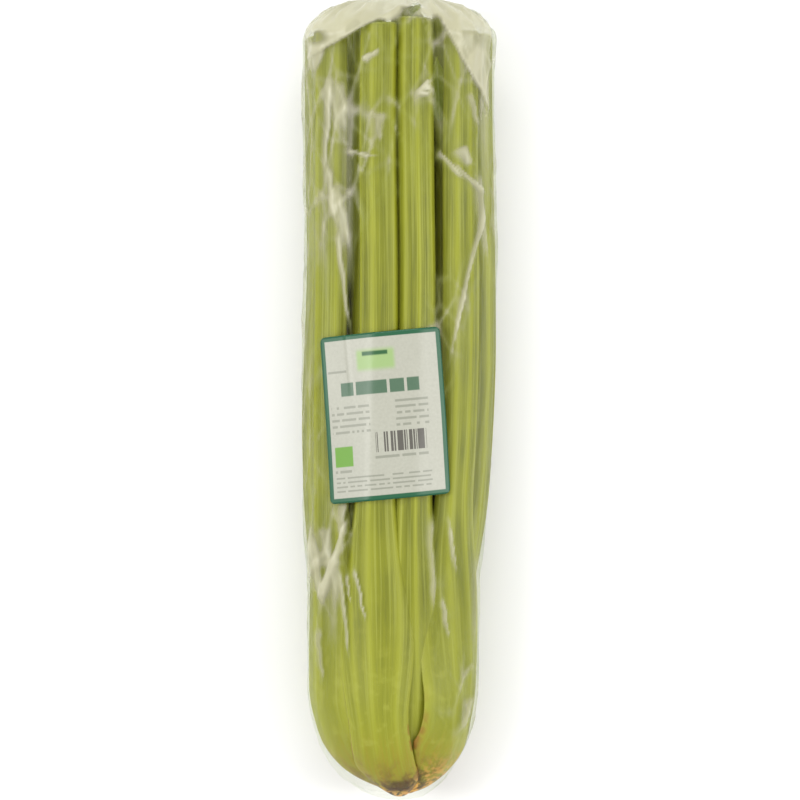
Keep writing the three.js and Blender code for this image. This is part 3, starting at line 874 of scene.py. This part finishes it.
# The creases that the pull of the folds and of the label leaves on the front.
# Each runs from one place to another (aside, up the head), with its height,
# half its width, and how milky it is, which is haze in the crease and a painted
# highlight along it. One side of it is steeper.
CREASES = (
    (-28.7, 269, -25.7, 243, 1.1, 0.9, 0.5),
    (-25.7, 243, -19.8, 198, 1.1, 0.9, 0.5),
    (-31.0, 250, -30.0, 205, 0.8, 2.2, 0.2),
    (36.8, 255, 20.6, 184, 1.0, 0.75, 0.5),
    (33.0, 268, 37.0, 225, 0.9, 1.6, 0.4),
    (38.5, 300, 40.0, 244, 0.5, 2.6, 0.35),
    (-22.7, 274.6, -7.9, 271.6, 1.0, 0.8, 0.45),
    (7.0, 298.5, 13.2, 304.3, 1.0, 0.9, 0.7),
    (7.0, 298.5, 12.8, 298.0, 0.8, 0.8, 0.7),
    (10.8, 299.8, 12.4, 302.0, 0.3, 1.6, 0.6),
    (-15.5, 312.0, -8.0, 316.5, 0.7, 1.1, 0.65),
    (-28.3, 329.0, -35.5, 306.5, 0.6, 3.2, 0.5),
    (-23.5, 305.0, -22.0, 281.0, 0.5, 2.4, 0.3),
    (-27.5, 306.0, -31.0, 262.0, 0.9, 1.0, 0.5),
    (-9.5, 281.0, -16.0, 262.0, 0.6, 0.9, 0.3),
    (-20.6, 300.0, -20.2, 252.0, 0.1, 3.4, 0.2),
    (-20.4, 262.0, -20.0, 214.0, 0.1, 3.4, 0.16),
    (-7.0, 291.0, -8.0, 277.0, 0.4, 2.8, 0.3),
    (-26.0, 262.0, -19.5, 232.0, 0.8, 2.2, 0.4),
    (21.9, 269.5, 36.8, 256.7, 1.0, 0.9, 0.45),
    (16.0, 275.0, 27.0, 262.0, 0.8, 0.9, 0.45),
    (26.5, 277.0, 30.5, 268.0, 0.7, 2.2, 0.5),
    (30.0, 300.0, 33.0, 284.0, 0.5, 1.0, 0.35),
    (-34.2, 84.6, -20.6, 122.8, 1.0, 1.2, 0.6),
    (-36.3, 114.3, -31.0, 86.6, 0.8, 2.4, 0.5),
    (-31.0, 118.0, -27.5, 98.0, 0.4, 3.2, 0.35),
    (-27.0, 98.0, -26.0, 62.0, 0.4, 3.0, 0.2),
    (-18.5, 101.6, -13.0, 76.1, 0.6, 0.7, 0.6),
    (-21.5, 98.0, -19.8, 84.0, 0.5, 0.6, 0.5),
    (13.4, 125.0, 14.6, 78.0, 0.5, 1.5, 0.42),
    (20.5, 124.0, 22.5, 100.0, 0.6, 0.8, 0.3),
    (-22.6, 128.0, -23.6, 112.0, 0.6, 1.6, 0.5),
    (18.4, 88.0, 21.0, 68.0, 0.6, 1.0, 0.35),
    (21.5, 118.0, 24.0, 96.0, 0.7, 0.7, 0.4),
    (-24.9, 101.6, -19.8, 59.0, 0.9, 0.8, 0.55),
    (-33.5, 76.0, -31.5, 50.0, 0.7, 1.3, 0.35),
    (34.0, 110.0, 33.0, 60.0, 0.5, 2.4, 0.3),
    (30.5, 46.0, 27.0, 30.0, 0.6, 1.2, 0.4),
)
plan_x = film[..., 0]
front = ease(0.1, 0.35, np.sin(heading))
for x0, up0, x1, up1, high, half_wide, haze_and_highlight in CREASES:
    dx, du = x1 - x0, up1 - up0
    t = ((plan_x - x0) * dx + (plan_up - up0) * du) / (dx * dx + du * du)
    held = np.clip(t, 0, 1)
    wander = 0.7 * (waves(plan_x * 0, held * 10, 5, 1.6, 0) - 0.5)
    off = np.hypot(plan_x - x0 - dx * held, plan_up - up0 - du * held)
    side_of = np.sign((plan_x - x0) * du - (plan_up - up0) * dx)
    off = (off * side_of - wander) / (half_wide * (1.25 - 0.7 * held))
    # Distances from the crease count for less on its shallow side.
    off = np.where(off > 0, off * 0.55, -off * 2.2)
    fade = ease(0, 0.2, held) * ease(0, 0.25, 1 - held) + 0.15
    ridge_line = np.exp(-off) * fade * front * (np.abs(t - 0.5) < 0.75)
    lift += high * 0.8 * ridge_line
    # Haze in the crease, with a painted highlight along it.
    milky += haze_and_highlight * np.exp(-((off / 1.1) ** 2)) * fade * front

# The top's corners are folded over: the film lies double outside two straight
# folds that run down from the middle of the top.
for x0, up0, x1, up1, outside in (
    (6.2, 336.0, -41.0, 313.0, 1),
    (13.4, 336.0, 43.0, 284.0, -1),
):
    dx, du = x1 - x0, up1 - up0
    long_fold = math.hypot(dx, du)
    beyond_fold = ((plan_x - x0) * du - (plan_up - up0) * dx) / long_fold * outside
    sheet_on = ease(-0.5, 0.5, beyond_fold) * front
    lift += 0.35 * sheet_on + 0.6 * np.exp(-((beyond_fold / 0.7) ** 2)) * front
    milky += (0.58 + 0.3 * waves(round_mm, along_mm, 7, 30, 30)) * sheet_on
    milky += 0.25 * np.exp(-((beyond_fold / 0.8) ** 2)) * front

# By the middle of the top it lies in extra layers, milkier. Over two cut ends
# and a leaf's tip it clings and is clearer.
for x0, up0, wide, long, change in (
    # aside, up the head, half width, half length, change of the milkiness
    (-4.4, 332.6, 4.6, 4.8, 0.85),
    (12.6, 334.8, 4.4, 5.4, 0.85),
    (2.5, 337.0, 6.5, 2.6, 0.6),
    (-34.0, 322.2, 4.8, 3.0, -0.65),
    (34.5, 322.5, 3.4, 5.0, -0.3),
    (7.0, 334.6, 3.2, 2.5, -0.85),
):
    spot_on = np.exp(-(((plan_x - x0) / wide) ** 2 + ((plan_up - up0) / long) ** 2) ** 2)
    milky = np.clip(milky + change * spot_on * front, 0, 1)

# Pleats gather it at both ends. The root end is clear, and the weight of the
# head presses the underside flat.
gather = ease(shoulder + 2, HEAD_LENGTH, row_up)[:, None]
pleat = np.cos(turn_round * 23 + 1.5 * np.sin(turn_round * 5))[None, :]
lift += 0.9 * gather * (1 - gather**6) * (pleat + 0.4 * np.cos(turn_round * 41)[None, :])
tail = (1 - ease(0, 26, row_up))[:, None]
butt_pleat = np.cos(turn_round * 17 + 2 * np.sin(turn_round * 3))[None, :]
lift += 0.5 * tail * (1 - tail**8) * butt_pleat
milky += 0.45 * gather * ease(0.3, 0.7, np.sin(heading))
milky *= 0.25 + 0.75 * ease(8, 42, row_up)[:, None]
settled_under = 1 - 0.85 * ease(0.55, 0.9, -np.sin(heading))
lift = lift * settled_under * ease(0, 2.5, row_up)[:, None]

# The label holds the film flat under it.
label_c, label_s = math.cos(LABEL_TURN), math.sin(LABEL_TURN)
label_x = (-round_mm - LABEL_ASIDE) * label_c + (plan_up - LABEL_UP) * label_s
label_y = (plan_up - LABEL_UP) * label_c - (-round_mm - LABEL_ASIDE) * label_s
from_label = np.maximum(np.abs(label_x) - LABEL_WIDE / 2, np.abs(label_y) - LABEL_LONG / 2)
lift = lift * (0.12 + 0.88 * ease(-0.5, 4.0, from_label))
lift = np.where(plan_up > HEAD_LENGTH - 0.3, 0, lift)

uncreased = film.copy()
film = film + out_of_film * lift[..., None]
film[..., 2] = np.maximum(film[..., 2], 0.02)
film[..., 1] = np.clip(film[..., 1], -HEAD_LENGTH / 2, HEAD_LENGTH / 2)

tip = film[0].mean(axis=0)
film_points = np.concatenate((film.reshape(-1, 3), tip[None]))
film_faces = [face[::-1] for face in grid_faces(film_rows, FILM_AROUND, True)]
film_faces += [(len(film_points) - 1, k, (k + 1) % FILM_AROUND) for k in range(FILM_AROUND)]
film_mesh = bpy.data.meshes.new("clear_film")
film_mesh.from_pydata((film_points * MM).tolist(), [], film_faces)
haze_with_highlights_layer = film_mesh.attributes.new("milky", "FLOAT", "POINT")
haze_with_highlights_layer.data.foreach_set(
    "value", np.append(np.clip(milky, 0, 1).ravel(), 0.3).astype(np.float32)
)
film_mesh.shade_smooth()
bag = bpy.data.objects.new("clear_film", film_mesh)
bpy.context.scene.collection.objects.link(bag)

film_look, solid_shader, clear = new_material("clear_film")
film_nodes = clear.tree
film_nodes.nodes.remove(solid_shader)
haze_with_highlights_mark = mark(clear, "milky")
fine = noise(clear, here(clear), 160.0, 3.0, Distortion=0.6)
film_bump = bumps(clear, fine, 0.25, 0.0006)
through = clear.node(
    "ShaderNodeBsdfTransparent", inputs={"Color": (0.965, 0.975, 0.955, 1)}
)
# The gloss is tinted green-yellow: a painted reflection of the celery round the film.
gloss = clear.node(
    "ShaderNodeBsdfPrincipled",
    inputs={
        "Base Color": (0.88, 0.92, 0.70, 1),
        "Metallic": 1.0,
        "Roughness": 0.14,
        "Normal": film_bump,
    },
)
# Thin haze is painted celery green, as if lit by the celery through it, and thick haze is
# beige.
haze_and_painted_glow_colour = blended(clear, rgb(164, 172, 76), rgb(182, 179, 148), haze_with_highlights_mark.smooth(0.12, 0.5))
haze_and_highlight = clear.node(
    "ShaderNodeBsdfPrincipled",
    inputs={"Base Color": haze_and_painted_glow_colour, "Roughness": 0.35, "Normal": film_bump},
)
# It shines more seen along its surface, and less by the root.
mirror = clear.node("ShaderNodeFresnel", inputs={"IOR": 1.45})
off_butt = here(clear).parts()[1].smooth(-0.165, -0.125)
mirror = ((mirror - 0.0335) * 0.7).most(0.0).least(0.09) * (0.35 + 0.65 * off_butt)
glossy = clear.node("ShaderNodeMixShader", inputs={0: mirror, 1: through, 2: gloss})
# Beyond its milkiness, the film is made a little milky where it is seen steep: a painted sheen.
steep = clear.node("ShaderNodeLayerWeight", inputs={"Blend": 0.25}, out="Facing")
haze_and_grazing_sheen = ((haze_with_highlights_mark - 0.035).most(0.0) + 0.05 * steep**3.0).least(0.93)
whole = clear.node("ShaderNodeMixShader", inputs={0: haze_and_grazing_sheen, 1: glossy, 2: haze_and_highlight})
film_nodes.links.new(whole.socket, film_nodes.nodes["Material Output"].inputs["Surface"])
film_mesh.materials.append(film_look)
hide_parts("film_bag")
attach(bag, "root")

# ---- Label ----
# A rectangular paper label stuck on the film's front, with a printed green rim.
# Its print is plain bars and blocks. Nothing on it can be read.

LABEL_COLUMNS, LABEL_ROWS, CORNER = 66, 86, 2.2
CARD_THICKNESS, CARD_OFF_FILM = 0.00018, 0.75


def on_row(values, row, round_to):
    """What the film's values are on one of its rows, at a distance round it."""
    return np.array([np.interp(-round_to, round_mm[row], values[row, :, k]) for k in range(3)])


label_points = []
for row in range(LABEL_ROWS):
    for column in range(LABEL_COLUMNS):
        x = (column / (LABEL_COLUMNS - 1) - 0.5) * LABEL_WIDE
        y = (row / (LABEL_ROWS - 1) - 0.5) * LABEL_LONG
        # The corners are cut round: points past one are drawn back to its arc.
        past = (abs(x) - LABEL_WIDE / 2 + CORNER, abs(y) - LABEL_LONG / 2 + CORNER)
        if min(past) > 0 and math.hypot(*past) > CORNER:
            scale = CORNER / math.hypot(*past)
            x = math.copysign(LABEL_WIDE / 2 - CORNER + past[0] * scale, x)
            y = math.copysign(LABEL_LONG / 2 - CORNER + past[1] * scale, y)
        round_to = LABEL_ASIDE + x * label_c - y * label_s
        up_to = LABEL_UP + x * label_s + y * label_c
        where = np.interp(up_to, row_up, np.arange(film_rows))
        below = int(where)
        spot, out_to = (
            (1 - where + below) * on_row(values, below, round_to)
            + (where - below) * on_row(values, below + 1, round_to)
            for values in (uncreased, out_of_film)
        )
        # A crease runs down from the top edge, and the paper cockles a little.
        u, v = x / LABEL_WIDE + 0.5, y / LABEL_LONG + 0.5
        fold = math.exp(-(((u - 0.24 - 0.03 * (1 - v)) / 0.012) ** 2)) * ease(0.55, 0.8, v)
        cockle = 0.12 * math.sin(9 * u + 4 * v) * math.sin(7 * v + 2)
        label_points.append(spot + out_to * (CARD_OFF_FILM + 0.35 * fold + cockle))
label_mesh = bpy.data.meshes.new("paper_label")
label_mesh.from_pydata(
    (np.array(label_points) * MM).tolist(), [], grid_faces(LABEL_ROWS, LABEL_COLUMNS, False)
)
label_uv = label_mesh.uv_layers.new(name="print")
for loop in label_mesh.loops:
    row, column = divmod(loop.vertex_index, LABEL_COLUMNS)
    label_uv.data[loop.index].uv = (column / (LABEL_COLUMNS - 1), row / (LABEL_ROWS - 1))
label_mesh.shade_smooth()
label = bpy.data.objects.new("paper_label", label_mesh)
bpy.context.scene.collection.objects.link(label)
card = label.modifiers.new("card", "SOLIDIFY")
card.thickness = CARD_THICKNESS
card.offset = 0

paper, paper_shader, ink = new_material("printed_paper")
across_print, up_print, _ = ink.node("ShaderNodeUVMap", {"uv_map": "print"}).parts()


def block(left, right, low, high, soft=0.004):
    """1 inside a rectangle of the print, falling to 0 over a soft edge."""
    sides = across_print.smooth(left - soft, left + soft)
    sides = sides - across_print.smooth(right - soft, right + soft)
    ends = up_print.smooth(low - soft, low + soft)
    ends = ends - up_print.smooth(high - soft, high + soft)
    return sides * ends


def drawn(where, salt):
    """A random number from 0 to 1 for each whole place."""
    settings = {"noise_dimensions": "1D"}
    return ink.node("ShaderNodeTexWhiteNoise", settings, {"W": where + salt})


def bars(count, share, salt):
    """Upright bars of random widths: count steps across the label, a share of them inked."""
    return 1 - drawn((across_print * count).floor(), salt).above(share)


def lines(count, low, high, left, right, salt):
    """Rows of dashes that stand in for small print."""
    row_at = (up_print - low) / (high - low) * count
    within = row_at.frac()
    stripe = within.smooth(0.30, 0.36) - within.smooth(0.70, 0.76)
    chance = drawn((across_print * 46.0).floor() + row_at.floor() * 17.0, salt)
    return stripe * (1 - chance.above(0.78)) * block(left, right, low, high)


inside_rim = block(0.038, 0.962, 0.029, 0.971, 0.003)
fibre = noise(ink, here(ink), 900.0, 3.0)
print_colour = blended(ink, rgb(160, 160, 146), rgb(176, 176, 162), fibre)
small = 0.0
for dashes in (
    # rows, low, high, left, right, salt
    (5, 0.40, 0.585, 0.06, 0.40, 3.0),
    (5, 0.42, 0.60, 0.60, 0.86, 41.0),
    (4, 0.055, 0.16, 0.07, 0.86, 77.0),
    (1, 0.235, 0.275, 0.42, 0.84, 9.0),
    (1, 0.165, 0.205, 0.06, 0.24, 15.0),
    (1, 0.765, 0.80, 0.05, 0.22, 27.0),
):
    small = small + lines(*dashes)
code = bars(150.0, 0.56, 5.0) * block(0.43, 0.83, 0.285, 0.405, 0.002)
heading_bars = bars(44.0, 0.66, 13.0) * block(0.15, 0.80, 0.635, 0.715)
for tone, inked in (
    (rgb(128, 130, 116), small.least(1.0) * 0.75),
    (rgb(70, 66, 60), code * 0.9),
    (rgb(28, 84, 52), heading_bars * 0.85),
    (rgb(146, 172, 112), block(0.32, 0.62, 0.78, 0.90, 0.02)),
    (rgb(40, 88, 48), block(0.37, 0.57, 0.865, 0.89, 0.006)),
    (rgb(96, 146, 40), block(0.07, 0.235, 0.215, 0.335)),
):
    print_colour = blended(ink, print_colour, tone, inked)
print_colour = blended(ink, rgb(16, 84, 52), print_colour, inside_rim)
link(print_colour, paper_shader, "Base Color")
paper_shader.inputs["Roughness"].default_value = 0.38
link(bumps(ink, fibre, 0.15, 0.0002), paper_shader, "Normal")
label_mesh.materials.append(paper)
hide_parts("label")
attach(label, "root")
